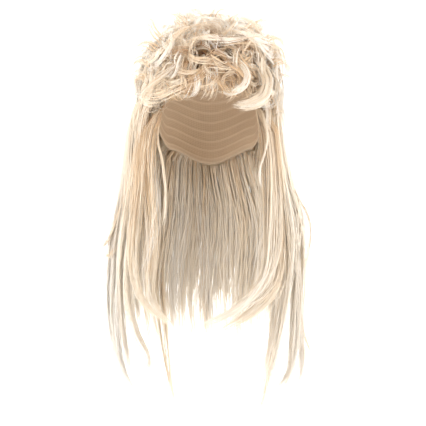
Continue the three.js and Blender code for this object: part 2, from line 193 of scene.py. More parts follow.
# How strands lie in the drawn curls, in shares of their length and width
DRAWN_SEGMENTS = 18
DRAWN_SHORTEST = 0.85
DRAWN_REACH = 0.9
DRAWN_LOOSENESS = 0.07
DRAWN_FAN = [(0, 0.8), (0.25, 1), (0.75, 0.8), (1, 0.3)]
# Painted shade: strands deeper in a drawn lock are darker
DRAWN_DEPTH_PAINTED_SHADE = 0.14
DRAWN_STRAND_TONE = 0.08
DRAWN_SEED = 150

# Long locks that are drawn one by one, as points from the root to the tip, and wisps that stray
# Tones differ lock by lock, and also paint light and shade: locks that curl in at the front are darker, the
# outer ones paler
LEFT_DRAWN = [
    dict(strands=10, width=3, depth=3, tone=0.58, clumps=1, points=[
        (70, -58, -84), (78, -62, -116), (75, -66, -151), (73, -66, -176), (74, -65, -200),
    ]),
    dict(strands=150, width=11, depth=7, tone=0.63, layer=0.06, points=[
        (74, -52, -78), (82, -48, -143), (85, -52, -200), (85, -58, -249), (83, -64, -291),
        (74, -74, -325), (54, -84, -351), (28, -90, -369), (-12, -93, -388),
    ]),
    dict(strands=130, width=11, depth=7, tone=0.58, layer=0.12, points=[
        (80, -46, -78), (87, -44, -143), (92, -46, -207), (96, -50, -263), (94, -56, -305),
        (84, -64, -339), (65, -74, -361), (44, -82, -378), (10, -86, -396),
    ]),
    dict(strands=84, width=6, depth=6, tone=0.66, layer=0.1, points=[
        (82, -40, -78), (91, -40, -143), (99, -42, -214), (104, -46, -270), (100, -48, -319),
        (95, -50, -358), (90, -52, -398), (82, -52, -438), (70, -52, -474),
    ]),
    dict(strands=112, width=8, depth=6, tone=0.78, layer=0.12, points=[
        (84, -34, -78), (93, -32, -142), (103, -34, -199), (112, -38, -249), (114, -40, -291),
        (108, -42, -338), (101, -44, -382), (92, -44, -428), (82, -44, -474),
    ]),
    dict(strands=14, width=4, depth=4, tone=0.5, clumps=2, points=[
        (84, -34, -78), (95, -32, -160), (106, -36, -240), (104, -42, -330), (95, -44, -410),
        (86, -44, -455), (79, -44, -490), (66, -44, -532),
    ]),
    dict(strands=70, width=5, depth=6, tone=0.74, layer=0.08, points=[
        (86, -28, -78), (96, -26, -149), (107, -28, -213), (118, -30, -270), (121, -32, -313),
        (118, -34, -360), (116, -36, -408), (114, -36, -456), (106, -36, -496),
    ]),
    dict(strands=98, width=7, depth=6, tone=0.78, layer=0.1, points=[
        (87, -22, -78), (97, -20, -142), (109, -22, -206), (121, -24, -271), (126, -26, -342),
        (127, -28, -396), (121, -30, -438), (108, -32, -468), (86, -34, -492),
    ]),
    dict(strands=98, width=6, depth=6, tone=0.7, layer=0.08, points=[
        (88, -14, -78), (99, -10, -141), (113, -10, -199), (126, -12, -249), (131, -14, -300),
        (129, -14, -357), (129, -14, -405), (132, -14, -450), (124, -14, -494),
    ]),
    dict(strands=16, width=2, depth=2, tone=0.5, clumps=2, points=[
        (90, -4, -78), (100, 0, -126), (111, 0, -170), (127, -2, -208), (140, -4, -233), (144, -6, -257),
        (140, -8, -288), (134, -8, -323), (131, -8, -368),
    ]),
    dict(strands=16, width=1.5, depth=1.5, tone=0.45, clumps=2, points=[
        (88, -10, -78), (108, -8, -180), (124, -10, -290), (130, -12, -380), (137, -14, -414),
        (145, -16, -434), (152, -16, -449),
    ]),
]
RIGHT_DRAWN = [
    dict(strands=10, width=3, depth=3, tone=0.58, clumps=1, points=[
        (-70, -58, -84), (-73, -62, -130), (-65, -66, -165), (-60, -68, -200), (-62, -68, -225),
        (-68, -66, -252),
    ]),
    dict(strands=63, width=5, depth=5, tone=0.84, layer=0.15, points=[
        (-74, -56, -80), (-84, -58, -144), (-79, -62, -193), (-75, -66, -235), (-80, -70, -272),
        (-92, -72, -316),
    ]),
    dict(strands=140, width=12, depth=7, tone=0.57, layer=0.12, points=[
        (-78, -50, -78), (-93, -48, -143), (-99, -52, -200), (-102, -56, -249), (-105, -60, -291),
        (-103, -64, -325), (-92, -68, -358), (-60, -70, -388),
    ]),
    dict(strands=119, width=11, depth=7, tone=0.52, layer=0.12, points=[
        (-76, -54, -80), (-87, -54, -144), (-86, -58, -200), (-81, -62, -249), (-81, -66, -291),
        (-83, -70, -328), (-78, -72, -360), (-52, -72, -392),
    ]),
    dict(strands=84, width=7, depth=6, tone=0.64, layer=0.08, points=[
        (-82, -42, -78), (-98, -38, -143), (-105, -40, -199), (-112, -42, -256), (-117, -44, -313),
        (-116, -46, -362), (-103, -48, -406), (-86, -50, -438), (-92, -50, -478),
    ]),
    dict(strands=112, width=8, depth=6, tone=0.8, layer=0.1, points=[
        (-84, -36, -78), (-102, -30, -142), (-112, -30, -199), (-119, -32, -249), (-125, -32, -292),
        (-127, -32, -338), (-124, -32, -382), (-118, -32, -428), (-106, -32, -476),
    ]),
    dict(strands=98, width=6, depth=6, tone=0.9, layer=0.08, points=[
        (-86, -24, -78), (-107, -18, -142), (-120, -18, -206), (-131, -20, -264), (-134, -22, -314),
        (-136, -22, -375), (-131, -22, -430), (-119, -24, -468), (-102, -26, -494),
    ]),
    dict(strands=77, width=4, depth=5, tone=0.9, layer=0.06, points=[
        (-88, -14, -78), (-111, -8, -141), (-124, -8, -199), (-136, -8, -249), (-142, -10, -293),
        (-145, -10, -336), (-145, -10, -380), (-138, -10, -432), (-114, -12, -484),
    ]),
    dict(strands=36, width=8, depth=4, tone=0.46, clumps=4, points=[
        (-88, -10, -78), (-106, -8, -150), (-120, -10, -205), (-131, -12, -237), (-141, -14, -262),
        (-150, -16, -276), (-158, -18, -285),
    ]),
    dict(strands=24, width=7, depth=4, tone=0.46, clumps=3, points=[
        (-88, -14, -78), (-108, -10, -160), (-121, -12, -232), (-129, -14, -268), (-138, -18, -287),
        (-147, -20, -294), (-155, -20, -294),
    ]),
]
BACK_LEFT_DRAWN = [
    dict(strands=30, width=3, depth=3, tone=0.45, clumps=2, points=[
        (68, 76, -96), (80, 84, -160), (94, 88, -240), (98, 90, -320), (96, 90, -400), (90, 90, -460),
        (84, 90, -500), (74, 90, -536),
    ]),
]
BACK_RIGHT_DRAWN = [
    dict(strands=30, width=3, depth=3, tone=0.45, clumps=2, points=[
        (-52, 86, -104), (-64, 92, -170), (-74, 96, -250), (-78, 98, -330), (-74, 98, -400),
        (-68, 96, -450), (-62, 94, -490), (-54, 92, -524),
    ]),
]

# Rails of the long hair, as in the CAD but with one more level at the top, and locks that fill it
RAIL_LEVELS = [
    dict(z=-42, front=(55, -56), side=(74, 0), rear=(47, 65), back=88, lean=-1),
    dict(z=-66, front=(72, -60), side=(92, 0), rear=(67, 77), back=105, lean=-2),
    dict(z=-100, front=(82, -52), side=(101, 0), rear=(76, 83), back=112, lean=-6),
    dict(z=-140, front=(82, -47), side=(108, -2), rear=(81, 84), back=110, lean=-8),
    dict(z=-190, front=(75, -51), side=(118, -4), rear=(91, 86), back=108, lean=-5),
    dict(z=-240, front=(71, -58), side=(131, -6), rear=(100, 88), back=108, lean=-1),
    dict(z=-300, front=(71, -68), side=(135, -8), rear=(106, 90), back=111, lean=-3),
    dict(z=-360, front=(76, -76), side=(133, -8), rear=(108, 92), back=114, lean=-6),
    dict(z=-440, front=(84, -76), side=(131, -6), rear=(104, 92), back=115, lean=-4),
    dict(z=-530, front=(90, -70), side=(118, -4), rear=(94, 90), back=113, lean=0),
]
# The outer rows' higher tones are painted light on the lit sides of the falls
LEFT_LOCKS = [
    dict(along=0.06, tip=-320, inward=10, forward=4, layer=60, strands=104),
    dict(along=0.15, tip=-350, inward=8, forward=4, layer=60, strands=104),
    dict(along=0.24, tip=-385, inward=8, forward=4, layer=110, strands=104, narrow=0.75),
    dict(along=0.32, tip=-410, inward=8, layer=110, strands=112, narrow=0.75, tone=0.7),
    dict(along=0.4, tip=-424, layer=110, strands=112, narrow=0.75, tone=0.74),
    dict(along=0.47, tip=-424, inward=6, forward=-4, layer=110, strands=120, narrow=0.7, tone=0.74),
    dict(along=0.53, tip=-404, forward=-8, layer=90, strands=120, narrow=0.6),
]
RIGHT_LOCKS = [
    dict(along=0.06, tip=-320, inward=6, forward=6, layer=60, strands=104),
    dict(along=0.15, tip=-345, inward=8, forward=6, layer=60, strands=104),
    dict(along=0.24, tip=-380, inward=10, forward=4, layer=110, strands=104, narrow=0.75),
    dict(along=0.32, tip=-405, inward=12, layer=110, strands=112, narrow=0.75, tone=0.72),
    dict(along=0.4, tip=-424, inward=10, layer=110, strands=112, narrow=0.75, tone=0.82),
    dict(along=0.47, tip=-428, inward=4, forward=-4, layer=110, strands=120, narrow=0.7, tone=0.82),
    dict(along=0.53, tip=-404, forward=-8, layer=90, strands=120, narrow=0.6),
]
BACK_LEFT_LOCKS = [
    dict(along=0.6, tip=-400, inward=4, layer=80, narrow=0.45),
    dict(along=0.673, tip=-440, inward=8, forward=2, layer=100, narrow=0.45),
    dict(along=0.746, tip=-410, inward=4, narrow=0.3),
    dict(along=0.819, tip=-416, inward=2, narrow=0.3),
    dict(along=0.892, tip=-424, narrow=0.2),
    dict(along=0.965, tip=-426, narrow=0.2),
]
BACK_RIGHT_LOCKS = [
    dict(along=0.6, tip=-396, inward=4, layer=80, narrow=0.45),
    dict(along=0.673, tip=-404, inward=6, narrow=0.3),
    dict(along=0.746, tip=-430, inward=8, forward=2, layer=100, narrow=0.45),
    dict(along=0.819, tip=-414, inward=2, narrow=0.3),
    dict(along=0.892, tip=-422, narrow=0.2),
    dict(along=0.965, tip=-420, narrow=0.2),
]

# How strands lie in those locks, where a row that leaves a value out takes it from FILL_LOCK
FILL_LOCK = dict(strands=176, layer=75, narrow=0.55, tone=0.63, inward=0, forward=0)
LOCK_SHARE = 0.078
LOCK_SPREAD = 0.62
LOCK_DEPTH = 17.0
FILL_CLUMPS = 8
FULL_CLUMPS = 2
FILL_JITTER = 0.12
FILL_SPREAD = 0.5
FILL_FRAY = 12.0
FILL_STRAGGLE = 70.0
TOP_LAYER = (0.4, 0.75)
LAYER_TOP = -70.0
END_FINENESS = 0.6
GATHER_LEAST = 0.35
GATHER_NARROW = 0.8
FILL_GATHER = (0.5, 1)
FILL_NARROWING = (0.55, 1)
FILL_THICKNESS = [(0, 0.5), (0.15, 1), (0.6, 0.9), (1, 0.25)]
INNER_HUG = 1.1
HUG_END = (0.12, 0.35)
FILL_RIPPLES = [(4.2, 0.9), (2.5, 0.8)]
SWEEP_POWER = 6
SWEEP_RANGE = (0.8, 1.08)
ALONG_STEP = 0.01

# How strands lie in the long drawn locks, where a row takes what it leaves out from LONG_LOCK
LONG_LOCK = dict(clumps=7, layer=0.05)
LONG_SPREAD = 0.4
LONG_FRAY = 0.03
LONG_STRAGGLE = 0.2
LONG_GATHER = 0.7
LONG_GATHERING = (0.4, 1)
LONG_FAN = [(0, 0.9), (0.2, 1), (0.65, 0.9), (1, 0.35)]
LONG_RIPPLES = [(2.6, 1.1), (2.0, 0.9)]

# How strands lie in long locks of both kinds, and the falls that they make up
FALL_SEGMENTS = 12
FALL_MIDDLE = np.array([0.0, 15.0, 0.0])
LEVEL = np.array([1.0, 1.0, 0.0])
CLUMP_MIDDLE = 0.85
SPREAD_LIMIT = 1.2
STRAGGLE_POWER = 4
RIPPLE_GROWTH = (0.1, 0.5)
CLUMP_TONE = 0.08
STRAND_TONE = 0.05
HEM_ANGLE = 4.0
ROOT_DEPTH = 0.5
ROOT_STAGGER = 0.42
ROOT_GAP = 0.5
FALLS = [
    dict(node="side_fall_left", side=1, locks=LEFT_LOCKS, drawn=LEFT_DRAWN, half_width=0.5),
    dict(node="side_fall_right", side=-1, locks=RIGHT_LOCKS, drawn=RIGHT_DRAWN, half_width=0.5),
    dict(node="back_fall_left", side=1, locks=BACK_LEFT_LOCKS, drawn=BACK_LEFT_DRAWN, half_width=0.7),
    dict(node="back_fall_right", side=-1, locks=BACK_RIGHT_LOCKS, drawn=BACK_RIGHT_DRAWN, half_width=0.7),
]
FALL_SEED = 200

# How strands wander: the share of wild ones, how far those go and how far the others go
CURL_WANDER = (0.04, 2.5, 1.0)
DRAWN_WANDER = (0.1, 3.0, 0.9)
FILL_WANDER = (0.05, 4.5, 1.0)
LONG_WANDER = (0.06, 4.0, 0.9)
WANDER_WAVES = (0.7, 1.6)
STRAY_LIMIT = 1.6

# Form of one strand, and the map of tones
STRAND_SIDES = 3
STRAND_FLATNESS = 0.4
STRAND_TAPER = [(0, 0.8), (0.1, 1), (0.85, 0.85), (1, 0.35)]
RING_START = 0.75
SMOOTHING = 0.7
TONE_COLUMNS = 48
CELL_MARGIN = 0.2
END_LIFT = 0.02

# Fibre: stops from the deepest tone to the palest
FIBRE_STOPS = [
    (0.0, (0.4, 0.2, 0.075)),
    (0.3, (0.77, 0.54, 0.31)),
    (0.6, (0.94, 0.82, 0.645)),
    (1.0, (1.0, 0.965, 0.91)),
]
# Painted shade: the fibre darkens towards the root, where the hollows near the scalp are in shade
ROOT_PAINTED_SHADE = 0.42
ROOT_FADE = 2.0
TONE_LIFT = 0.12
FIBRE_ROUGHNESS = 0.38
TONE_GLOSS = 0.1
FIBRE_SURFACE = dict(
    Specular_IOR_Level=0.95,
    Subsurface_Weight=0.45,
    Subsurface_Radius=(0.9, 1.0, 1.0),
    Subsurface_Scale=0.002,
)

# Cap: its grid, its hem, and its knit with rows of sewn weft
CAP_COLUMNS = 96
CAP_ROWS = 36
HEM_START = 0.95
HEM_STEP = 0.01
HEM_TURN = 0.012
HEM_INSIDE = 0.4
HEM_OUTSIDE = 0.8
MERGE_DISTANCE = 1e-5
KNIT_STOPS = [
    (0.0, (0.52, 0.39, 0.27)),
    (0.5, (0.66, 0.52, 0.38)),
    (1.0, (0.76, 0.63, 0.49)),
]
KNIT_RIBS = 180
KNIT_COURSES = 160
KNIT_TRACKS = 30
TRACK_SHARPNESS = 4.0
RIB_HEIGHT = 0.25
COURSE_HEIGHT = 0.2
TRACK_HEIGHT = 2.0
KNIT_TONE = 0.42
TRACK_TONE = 0.34
# Painted shade: the knit is darker where its weave is low and paler on the raised ribs and courses
WEAVE_PAINTED_SHADE = 0.35
KNIT_BUMP = dict(Strength=0.5, Distance=0.0006)
KNIT_ROUGHNESS = 0.9

# Studio in metres, with its lamps in watts
FLOOR_Z = -0.6
STUDIO_HALF = 4.5
BACKDROP_Y = 3.4
BACKDROP_HEIGHT = 4.0
SWEEP_RADIUS = 1.2
SWEEP_SEGMENTS = 16
PLACE_TOLERANCE = 1e-4
PAPER_COLOUR = (0.93, 0.93, 0.93, 1)
PAPER_ROUGHNESS = 0.9
LAMP_COLOUR = (1.0, 0.975, 0.945)
LAMPS = [
    dict(name="key_softbox", place=(-1.3, -1.9, 0.7), aim=(0, 0, -0.25), size=1.4, power=38),
    dict(name="fill_softbox", place=(1.9, -1.5, 0.2), aim=(0, 0, -0.25), size=1.6, power=26),
    dict(name="top_softbox", place=(0.2, 0.5, 1.7), aim=(0, 0, -0.2), size=1.4, power=14),
    dict(name="backdrop_softbox", place=(0, 1.4, 2.6), aim=(0, 3.2, -0.2), size=2.4, power=85),
    dict(name="left_rim_softbox", place=(-1.9, 0.6, 0.2), aim=(0, 0, -0.25), size=1.2, power=11),
    dict(name="right_rim_softbox", place=(1.9, 0.6, 0.2), aim=(0, 0, -0.25), size=1.2, power=10),
]
SKY_COLOUR = (1.0, 0.93, 0.85, 1)
SKY_STRENGTH = 0.62
CAMERA_DISTANCE = 1.7
CAMERA_PLACE = (0.004, -CAMERA_DISTANCE, -0.232)
FRAME_WIDTH = 0.618
SENSOR_WIDTH = 36


# Easing, tables and vectors

def smooth(value, low, high):
    """0 below low, 1 above high, eased between."""
    share = np.clip((value - low) / (high - low), 0, 1)
    return share * share * (3 - 2 * share)


def profile(value, rows):
    """A table's second column at a value of its first, straight from row to row."""
    return np.interp(value, *zip(*rows))


def unit(vectors):
    return vectors / np.linalg.norm(vectors, axis=-1, keepdims=True)


def joined(sets):
    return tuple(np.concatenate(parts) for parts in zip(*sets))


# Places over the head

def edge_at(edge, azimuth):
    """The angle of an edge at each azimuth, eased from one row of its table to the next."""
    turn = np.abs((azimuth + 540) % 360 - 180)
    angles, polars = np.array(edge, float).T
    place = np.clip(np.searchsorted(angles, turn) - 1, 0, len(edge) - 2)
    share = smooth(turn, angles[place], angles[place + 1])
    return polars[place] + (polars[place + 1] - polars[place]) * share


def on_ball(azimuth, polar):
    """Points of a ball of radius 1, and the directions down it."""
    around, down = np.radians(azimuth), np.radians(polar)
    ball = np.stack([np.sin(down) * np.sin(around), -np.sin(down) * np.cos(around), np.cos(down)], -1)
    slope = np.stack([np.cos(down) * np.sin(around), -np.cos(down) * np.cos(around), -np.sin(down)], -1)
    return ball, slope


def over_head(azimuth, polar, offset):
    """Points over the head, offset off it, with the directions out of it and down it."""
    ball, slope = on_ball(azimuth, polar)
    out = unit(ball / HEAD_SIZE)
    point = ball * HEAD_SIZE + out * np.asarray(offset)[..., None]
    point[..., 2] -= HEAD_SIZE[2]
    return point, out, unit(slope * HEAD_SIZE)


def head_place(points):
    """Each point's azimuth and angle from the crown, and how far it is off the head."""
    arm = (points - HEAD_MIDDLE) / HEAD_SIZE
    reach = np.linalg.norm(arm, axis=-1)
    ball = arm / reach[..., None]
    foot = np.linalg.norm(ball * HEAD_SIZE, axis=-1)
    azimuth = np.degrees(np.arctan2(ball[..., 0], -ball[..., 1]))
    polar = np.degrees(np.arccos(np.clip(ball[..., 2], -1, 1)))
    return azimuth, polar, (reach - 1) * foot


def put_on_head(azimuth, polar, offset):
    """Points at their places over the head, as head_place tells them."""
    foot = on_ball(azimuth, polar)[0] * HEAD_SIZE
    return HEAD_MIDDLE + foot * (1 + offset / np.linalg.norm(foot, axis=-1))[..., None]


# Curls

def soften(value, limit, soft):
    """The value, eased over its last stretch so that it never passes its limit."""
    return np.where(value < limit - soft, value, limit - soft + soft * np.tanh((value - limit + soft) / soft))


def tame(points, fullness, hem):
    """Keeps strands off the cap and in the shape of the curls, which each fills by its own share and hem."""
    azimuth, polar, offset = head_place(points)
    polar = soften(polar, edge_at(CURL_HEM, azimuth) + hem[:, None], HEM_SOFTNESS)
    offset = soften(offset, profile(polar, CURL_REACH) * fullness[:, None], REACH_SOFTNESS)
    return put_on_head(azimuth, polar, np.maximum(offset, HAIR_CLEARANCE))


def curl_roots(count, zone):
    """Places spread evenly over the scalp, of which those in the zone are kept."""
    number = np.arange(count) + 0.5
    azimuth = (number * GOLDEN_ANGLE + 180) % 360 - 180
    polar = np.degrees(np.arccos(1 - number / count * (1 - math.cos(math.radians(ROOT_LIMIT)))))
    chosen = in_zone(zone, azimuth, polar)
    return azimuth[chosen], polar[chosen]


def in_zone(zone, azimuth, polar):
    """Which roots belong to a zone of the scalp."""
    crown = polar < edge_at(CROWN_EDGE, azimuth)
    if zone == "fringe":
        low = edge_at(CAP_EDGE, azimuth) - FRINGE_MARGIN
        return ~crown & (np.abs(azimuth) < FRINGE_REACH) & (polar < low)
    low, high = ZONE_ANGLES[zone]
    return crown & (polar >= low) & (polar < high)


def curl_paths(azimuth, polar, lift, tilt, bearing, roll, turn, bend, length, drift, sway, phase):
    """Points of strands that leave the head at a tilt and wind up towards their tips, and how they face."""
    root, out, along = over_head(azimuth, polar, lift)
    sideways = np.cross(out, along)
    tilt, bearing, roll, turn = (np.radians(angle)[:, None] for angle in (tilt, bearing, roll, turn))
    aim = np.cos(bearing) * along + np.sin(bearing) * sideways
    start = np.cos(tilt) * out + np.sin(tilt) * aim
    fold = np.cos(tilt) * aim - np.sin(tilt) * out
    over = np.cos(roll) * fold + np.sin(roll) * np.cross(start, fold)
    across = np.cross(start, over)
    steps = np.linspace(0, 1, CURL_SEGMENTS + 1)
    wave = np.radians(sway)[:, None] * np.sin(2 * np.pi * SWAY_WAVES * steps + phase[:, None])
    heading = turn * steps ** bend[:, None] + wave
    middle = (heading[:, 1:] + heading[:, :-1]) / 2
    stride = (length / CURL_SEGMENTS)[:, None]
    climb = np.cumsum(np.pad(np.cos(middle) * stride, ((0, 0), (1, 0))), axis=1)
    lie = np.cumsum(np.pad(np.sin(middle) * stride, ((0, 0), (1, 0))), axis=1)
    slide = (drift * length)[:, None] * steps
    points = (
        root[:, None]
        + climb[..., None] * start[:, None]
        + lie[..., None] * over[:, None]
        + slide[..., None] * across[:, None]
    )
    facing = np.cos(heading)[..., None] * over[:, None] - np.sin(heading)[..., None] * start[:, None]
    return points, facing


def wander_sizes(draw, count, wild_share, wild, calm):
    """How far each strand wanders: a few are wild and the others calm."""
    return np.where(draw.random(count) < wild_share, wild, calm)


def waver(draw, count, steps, size):
    """A smooth random wander for each strand, growing from its root to its tip."""
    along = np.linspace(0, 1, steps)
    wander = np.zeros((count, steps, 3))
    for waves in WANDER_WAVES:
        phase = draw.uniform(0, 2 * np.pi, (count, 1, 3))
        height = np.clip(draw.normal(0, 1, (count, 1, 3)), -STRAY_LIMIT, STRAY_LIMIT) / waves
        wander += height * (np.sin(2 * np.pi * waves * along[None, :, None] + phase) - np.sin(phase))
    return wander * size[:, None, None] * along[None, :, None]


def curl_lock(layer, azimuth, polar, strands, draw):
    """How the strands of one lock grow, in a few threads. Lifts and lengths are shares of the reach there."""
    kinds = len(layer)
    swing = draw.uniform(-1, 1, kinds)
    thread = draw.integers(0, CURL_THREADS, strands)
    wild = wander_sizes(draw, strands, *CURL_WANDER)
    stray = draw.normal(0, 1, (CURL_THREADS, kinds + 3))[thread]
    stray = (stray + THREAD_LOOSENESS * draw.normal(0, 1, stray.shape)) * wild[:, None]
    row = {
        key: middle + apart * swing[k] + loose * stray[:, k]
        for k, (key, (middle, apart, loose)) in enumerate(layer.items())
    }
    reach = profile(polar, CURL_REACH)
    row["lift"] = np.maximum(row["lift"] * reach, HAIR_CLEARANCE)
    row["length"] = np.maximum(row["length"], SHORTEST_CURL) * reach
    row["roll"] *= draw.choice([-1, 1])
    row["bend"] = np.maximum(row["bend"], 1)
    return dict(
        row,
        azimuth=np.full(strands, azimuth),
        polar=np.full(strands, polar),
        phase=draw.uniform(0, 2 * np.pi) + PHASE_STRAY * stray[:, 0],
        spread=CLUMP_SPREAD * stray[:, kinds:],
        frizz=CURL_FRIZZ * wild,
    )


def curl_strands(layer, azimuth, polar, strands, draw):
    """Strands of one layer of curls, a lock at each root."""
    rows = [curl_lock(layer, *place, strands, draw) for place in zip(azimuth, polar)]
    rows = {key: np.concatenate([row[key] for row in rows]) for key in rows[0]}
    tone, fullness, spread, frizz = (rows.pop(key) for key in ("tone", "fullness", "spread", "frizz"))
    points, facing = curl_paths(**rows)
    points += spread[:, None] * np.linspace(1, CLUMP_GATHER, CURL_SEGMENTS + 1)[None, :, None]
    points += waver(draw, len(points), CURL_SEGMENTS + 1, frizz)
    points = open_hollows(points)
    return tame(points, fullness, draw.normal(0, HEM_WANDER, len(points))), facing, np.clip(tone, 0, 1)


def open_hollows(points):
    """Strands parted round the hollows between the curls, down to their roots."""
    for azimuth, polar, radius in HOLLOWS:
        floor, out, _ = over_head(azimuth, polar, HOLLOW_DEPTH * profile(polar, CURL_REACH))
        arm = points - floor
        height = arm @ out
        aside = arm - height[..., None] * out
        gap = np.maximum(np.linalg.norm(aside, axis=-1), LEAST_GAP)
        push = np.maximum(radius - gap, 0) * HOLLOW_SHARE * smooth(height, -HOLLOW_RIM, HOLLOW_RIM)
        points = points + aside * (push / gap)[..., None]
    return points


# Drawn curls and smooth curves

def drawn_strands(lock, draw):
    """Strands along a drawn curl, a few thin clumps side by side."""
    count = lock["strands"]
    steps = np.linspace(0, 1, DRAWN_SEGMENTS + 1) * draw.uniform(DRAWN_SHORTEST, 1, (count, 1))
    points = along_line(lock["points"], steps)
    facing = unit((points - HEAD_MIDDLE) / HEAD_SIZE**2)
    across = unit(np.cross(np.gradient(points, axis=1), facing))
    fan = profile(steps, DRAWN_FAN)
    number = lock["clumps"]
    middles = np.stack([np.linspace(-DRAWN_REACH, DRAWN_REACH, number), draw.uniform(-1, 1, number)], -1)
    clumps = middles[draw.integers(0, number, count)]
    loose = lock.get("loose", DRAWN_LOOSENESS) * draw.normal(0, 1, (count, 2))
    place = np.clip(clumps + loose, -SPREAD_LIMIT, SPREAD_LIMIT)
    points += across * (lock["width"] * place[:, :1] * fan)[..., None]
    points += facing * (lock["depth"] * place[:, 1:] * fan)[..., None]
    points += waver(draw, count, DRAWN_SEGMENTS + 1, wander_sizes(draw, count, *DRAWN_WANDER))
    # Painted shade: darker deeper in the lock, paler at its face
    tone = lock["tone"] + DRAWN_DEPTH_PAINTED_SHADE * clumps[:, 1] + DRAWN_STRAND_TONE * draw.normal(0, 1, count)
    return points, facing, np.clip(tone, 0, 1)


def catmull(points, place):
    """A smooth curve through the points of the last axis but one, at each place from 0 to 1."""
    count = points.shape[-2]
    first = 2 * points[..., :1, :] - points[..., 1:2, :]
    last = 2 * points[..., -1:, :] - points[..., -2:-1, :]
    padded = np.concatenate([first, points, last], axis=-2)
    spot = np.clip(place, 0, 1) * (count - 1)
    start = np.minimum(spot.astype(int), count - 2)
    t = (spot - start)[..., None]
    a, b, c, d = (
        np.take_along_axis(padded, (start + k)[..., None, None], axis=-2)[..., 0, :] for k in range(4)
    )
    return 0.5 * (2 * b + (c - a) * t + (2 * a - 5 * b + 4 * c - d) * t**2 + (3 * b - a - 3 * c + d) * t**3)


def along_line(line, steps):
    """Points of a smooth curve through the line's, at each step from 0 to 1."""
    line = np.array(line, float)
    return catmull(np.broadcast_to(line, steps.shape + line.shape), steps)


# Long hair

def rails_of(side):
    """Points of one side's four rails, level by level: front edge, over the ear, rear and middle back."""
    levels = []
    for row in RAIL_LEVELS:
        plan = [row["front"], row["side"], row["rear"], (0, row["back"])]
        levels.append([(side * x + row["lean"], y, row["z"]) for x, y in plan])
    return np.array(levels, float)


def drop_of(tip):
    """How far down the rails a height is, from 0 at the top level to 1 at the lowest."""
    heights = np.array([row["z"] for row in RAIL_LEVELS], float)
    return np.interp(-tip, -heights, np.linspace(0, 1, len(heights)))


def hanging(rails, along, drop):
    """Points of the long hair at each strand's place along its outline and drop down the rails."""
    down = np.stack([along_line(rails[:, k], drop) for k in range(rails.shape[1])], axis=-2)
    return catmull(down, along)


def rails_start(lock, rails, spread):
    """How far down the rails each strand starts: inner strands are sewn lower on the cap than outer ones."""
    top = hanging(rails, np.full((1, 1), lock["along"]), np.zeros((1, 1)))
    azimuth, polar, _ = head_place(top)
    low = edge_at(CAP_EDGE, azimuth[0, 0]) - HEM_ANGLE
    depth = np.clip(ROOT_DEPTH - ROOT_STAGGER * spread[:, 1], 0, 1)
    root = polar[0, 0] + (low - polar[0, 0]) * depth
    return drop_of(HEAD_SIZE[2] * (np.cos(np.radians(root)) - 1))


def root_on_cap(points):
    """The same places, drawn in to the cap."""
    azimuth, polar, _ = head_place(points)
    low = edge_at(CAP_EDGE, azimuth) - HEM_ANGLE
    return put_on_head(azimuth, np.minimum(polar, low), CAP_WALL + ROOT_GAP)


def clear_of_cap(points):
    """Strands pushed out of the cap, apart from their roots."""
    azimuth, polar, offset = head_place(points)
    clear = put_on_head(azimuth, polar, np.maximum(offset, HAIR_CLEARANCE))
    clear[:, 0] = points[:, 0]
    return clear


def gathered(middle, spread, gather):
    """Each strand's place in its lock, drawn in to the middle of its clump as far as gather says."""
    return middle + (spread - middle)[:, None] * (1 - gather)[..., None]


def add_ripples(points, across, facing, share, ripples, draw):
    """Lets a clump swing slowly across its lock and out of it, by a height and a number of waves for each."""
    phases = draw.uniform(0, 2 * np.pi, 2)
    growth = smooth(share, *RIPPLE_GROWTH)
    for direction, phase, (height, waves) in zip((across, facing), phases, ripples):
        points += direction * (height * growth * np.sin(2 * np.pi * waves * share + phase))[..., None]


def finished_clump(points, facing, tone, wander, draw):
    """A clump of long strands with their wander, rooted on the cap and clear of it, and with their tones."""
    count = len(points)
    points += waver(draw, count, FALL_SEGMENTS + 1, wander_sizes(draw, count, *wander))
    points[:, 0] = root_on_cap(points[:, 0])
    tone = tone + CLUMP_TONE * draw.normal() + STRAND_TONE * draw.normal(0, 1, count)
    return clear_of_cap(points), facing, np.clip(tone, 0, 1)


def clump_cut(lock, clump, draw):
    """How much shorter than its lock a clump is: the first ones are full length, the last is a top layer."""
    if clump < FULL_CLUMPS:
        return 0
    cut = lock["layer"] * draw.uniform(0, 1)
    if clump == FILL_CLUMPS - 1:
        cut = draw.uniform(*TOP_LAYER) * (LAYER_TOP - lock["tip"])
    return cut


